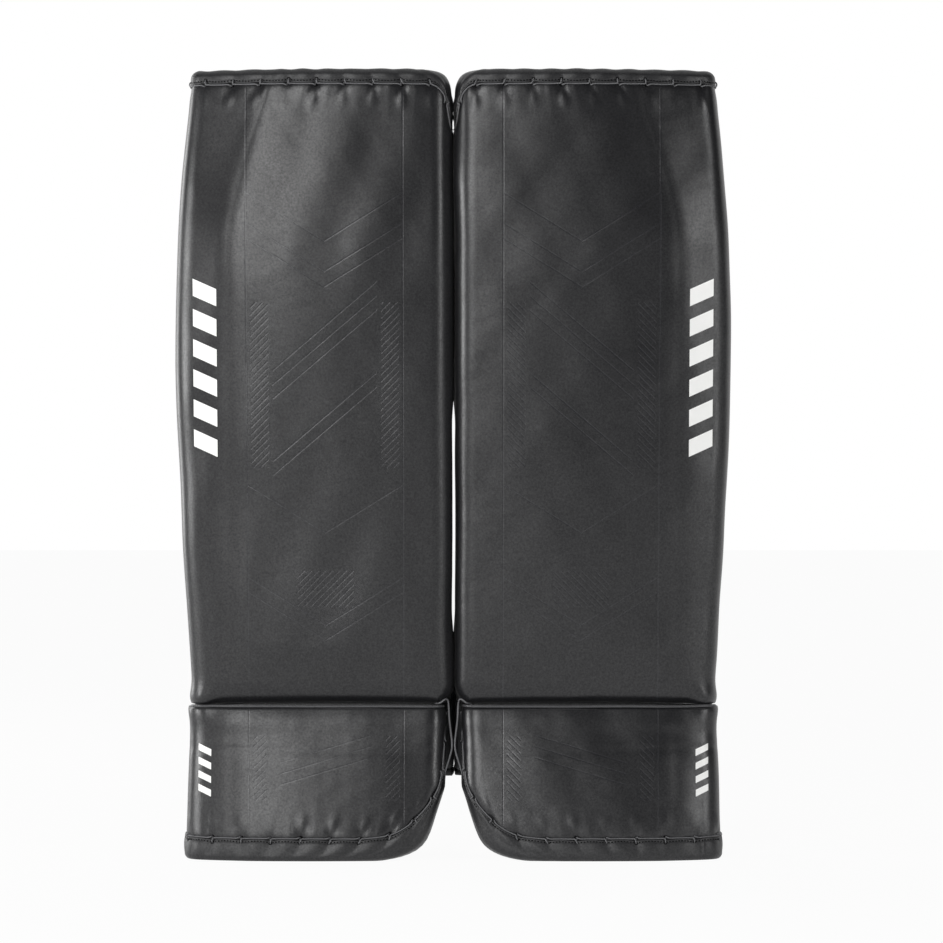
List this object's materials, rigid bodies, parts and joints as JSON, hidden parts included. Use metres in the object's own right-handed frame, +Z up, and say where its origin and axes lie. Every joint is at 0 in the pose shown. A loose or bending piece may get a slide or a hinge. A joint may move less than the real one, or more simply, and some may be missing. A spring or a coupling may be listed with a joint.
{
  "type": "goalie leg pads",
  "caption": "Ice hockey goalie leg pads: laced, bevelled foam faces with hinged boots, leg channels with wings, peel-off straps and buckled boot straps.",
  "frame": {"origin": "on the floor, midway between the two pads and midway through their depth, pads standing on their toe edges", "axes": "+Z up along the pads, +X towards the wearer's left pad, the faces look towards -Y"},
  "size_m": [0.5598, 0.1872, 0.79],
  "materials": {
    "face_leather": "smooth black synthetic leather, satin",
    "wrap_leather": "black synthetic leather edge wrap, fine grain",
    "landing_leather": "dark grey grained synthetic leather",
    "foam": "closed-cell foam, hidden inside",
    "board": "polyethylene sheet, hidden inside",
    "nylon": "black woven nylon",
    "liner_knit": "dark grey knitted liner",
    "webbing": "black woven webbing and elastic",
    "lace": "black waxed lace",
    "buckle_plastic": "black moulded acetal"
  },
  "bodies": {
    "right_pad": {"right_face_cover": "face_leather", "right_foam_core": "foam", "right_stiffener_board": "board", "right_back_panel": "nylon", "right_top_wrap": "wrap_leather", "right_top_lace": "lace", "right_knee_cradle": "liner_knit", "right_shin_cradle": "liner_knit", "right_knee_block": "landing_leather", "right_calf_block": "landing_leather"},
    "right_boot": {"right_boot_cover": "face_leather", "right_boot_foam": "foam", "right_boot_back_panel": "nylon", "right_toe_wrap": "wrap_leather", "right_toe_lace": "lace", "right_boot_piping": "face_leather", "right_inner_boot_wing": "nylon", "right_outer_boot_wing": "nylon", "right_boot_strap_inner": "webbing", "right_boot_strap_outer": "webbing", "right_boot_buckle_socket": "buckle_plastic", "right_toe_bridge": "wrap_leather"},
    "right_knee_wing": {"right_knee_wing": "nylon"},
    "right_calf_wing": {"right_calf_wing": "nylon"},
    "right_knee_strap": {"right_knee_strap": "webbing"},
    "right_calf_strap_upper": {"right_calf_strap_upper": "webbing"},
    "right_calf_strap_lower": {"right_calf_strap_lower": "webbing"},
    "right_toe_strap": {"right_toe_strap": "webbing"},
    "right_boot_buckle": {"right_boot_buckle_plug": "buckle_plastic"},
    "left_pad": {"left_face_cover": "face_leather", "left_foam_core": "foam", "left_stiffener_board": "board", "left_back_panel": "nylon", "left_top_wrap": "wrap_leather", "left_top_lace": "lace", "left_knee_cradle": "liner_knit", "left_shin_cradle": "liner_knit", "left_knee_block": "landing_leather", "left_calf_block": "landing_leather"},
    "left_boot": {"left_boot_cover": "face_leather", "left_boot_foam": "foam", "left_boot_back_panel": "nylon", "left_toe_wrap": "wrap_leather", "left_toe_lace": "lace", "left_boot_piping": "face_leather", "left_inner_boot_wing": "nylon", "left_outer_boot_wing": "nylon", "left_boot_strap_inner": "webbing", "left_boot_strap_outer": "webbing", "left_boot_buckle_socket": "buckle_plastic", "left_toe_bridge": "wrap_leather"},
    "left_knee_wing": {"left_knee_wing": "nylon"},
    "left_calf_wing": {"left_calf_wing": "nylon"},
    "left_knee_strap": {"left_knee_strap": "webbing"},
    "left_calf_strap_upper": {"left_calf_strap_upper": "webbing"},
    "left_calf_strap_lower": {"left_calf_strap_lower": "webbing"},
    "left_toe_strap": {"left_toe_strap": "webbing"},
    "left_boot_buckle": {"left_boot_buckle_plug": "buckle_plastic"}
  },
  "joints": [
    {"name": "right_boot_flex", "type": "hinge", "parent": "right_pad", "child": "right_boot", "pos_m": [-0.14, -0.02525, 0.1546], "axis": [-1, 0, 0], "range_deg": [-4, 15], "stiffness_Nm_per_rad": 60},
    {"name": "right_knee_wing_swing", "type": "hinge", "parent": "right_pad", "child": "right_knee_wing", "pos_m": [-0.21675, -0.01028, 0.48714], "axis": [0, -0.1219, 0.9925], "range_deg": [0, 75]},
    {"name": "right_calf_wing_swing", "type": "hinge", "parent": "right_pad", "child": "right_calf_wing", "pos_m": [-0.21675, 0.02689, 0.18441], "axis": [0, -0.1219, 0.9925], "range_deg": [0, 75]},
    {"name": "right_knee_strap_peel", "type": "hinge", "parent": "right_knee_wing", "child": "right_knee_strap", "pos_m": [-0.21675, 0.056, 0.56278], "axis": [0, -0.1219, 0.9925], "range_deg": [0, 110]},
    {"name": "right_calf_strap_upper_peel", "type": "hinge", "parent": "right_calf_wing", "child": "right_calf_strap_upper", "pos_m": [-0.21675, 0.06085, 0.40016], "axis": [0, -0.1219, 0.9925], "range_deg": [0, 110]},
    {"name": "right_calf_strap_lower_peel", "type": "hinge", "parent": "right_calf_wing", "child": "right_calf_strap_lower", "pos_m": [-0.21675, 0.07669, 0.27113], "axis": [0, -0.1219, 0.9925], "range_deg": [0, 110]},
    {"name": "right_boot_buckle_release", "type": "slide", "parent": "right_boot", "child": "right_boot_buckle", "axis": [1, 0, 0], "range_m": [0, 0.019]},
    {"name": "right_toe_strap_swing", "type": "hinge", "parent": "right_boot", "child": "right_toe_strap", "pos_m": [-0.14075, 0.02377, 0.03462], "axis": [1, 0, 0], "range_deg": [-25, 70], "stiffness_Nm_per_rad": 0.15},
    {"name": "left_boot_flex", "type": "hinge", "parent": "left_pad", "child": "left_boot", "pos_m": [0.14, -0.02525, 0.1546], "axis": [-1, 0, 0], "range_deg": [-4, 15], "stiffness_Nm_per_rad": 60},
    {"name": "left_knee_wing_swing", "type": "hinge", "parent": "left_pad", "child": "left_knee_wing", "pos_m": [0.21675, -0.01028, 0.48714], "axis": [0, 0.1219, -0.9925], "range_deg": [0, 75]},
    {"name": "left_calf_wing_swing", "type": "hinge", "parent": "left_pad", "child": "left_calf_wing", "pos_m": [0.21675, 0.02689, 0.18441], "axis": [0, 0.1219, -0.9925], "range_deg": [0, 75]},
    {"name": "left_knee_strap_peel", "type": "hinge", "parent": "left_knee_wing", "child": "left_knee_strap", "pos_m": [0.21675, 0.056, 0.56278], "axis": [0, 0.1219, -0.9925], "range_deg": [0, 110]},
    {"name": "left_calf_strap_upper_peel", "type": "hinge", "parent": "left_calf_wing", "child": "left_calf_strap_upper", "pos_m": [0.21675, 0.06085, 0.40016], "axis": [0, 0.1219, -0.9925], "range_deg": [0, 110]},
    {"name": "left_calf_strap_lower_peel", "type": "hinge", "parent": "left_calf_wing", "child": "left_calf_strap_lower", "pos_m": [0.21675, 0.07669, 0.27113], "axis": [0, 0.1219, -0.9925], "range_deg": [0, 110]},
    {"name": "left_boot_buckle_release", "type": "slide", "parent": "left_boot", "child": "left_boot_buckle", "axis": [-1, 0, 0], "range_m": [0, 0.019]},
    {"name": "left_toe_strap_swing", "type": "hinge", "parent": "left_boot", "child": "left_toe_strap", "pos_m": [0.14075, 0.02377, 0.03462], "axis": [1, 0, 0], "range_deg": [-25, 70], "stiffness_Nm_per_rad": 0.15},
    {"name": "pair_spacing", "type": "slide", "parent": "right_pad", "child": "left_pad", "axis": [1, 0, 0], "range_m": [0, 0.25]}
  ]
}
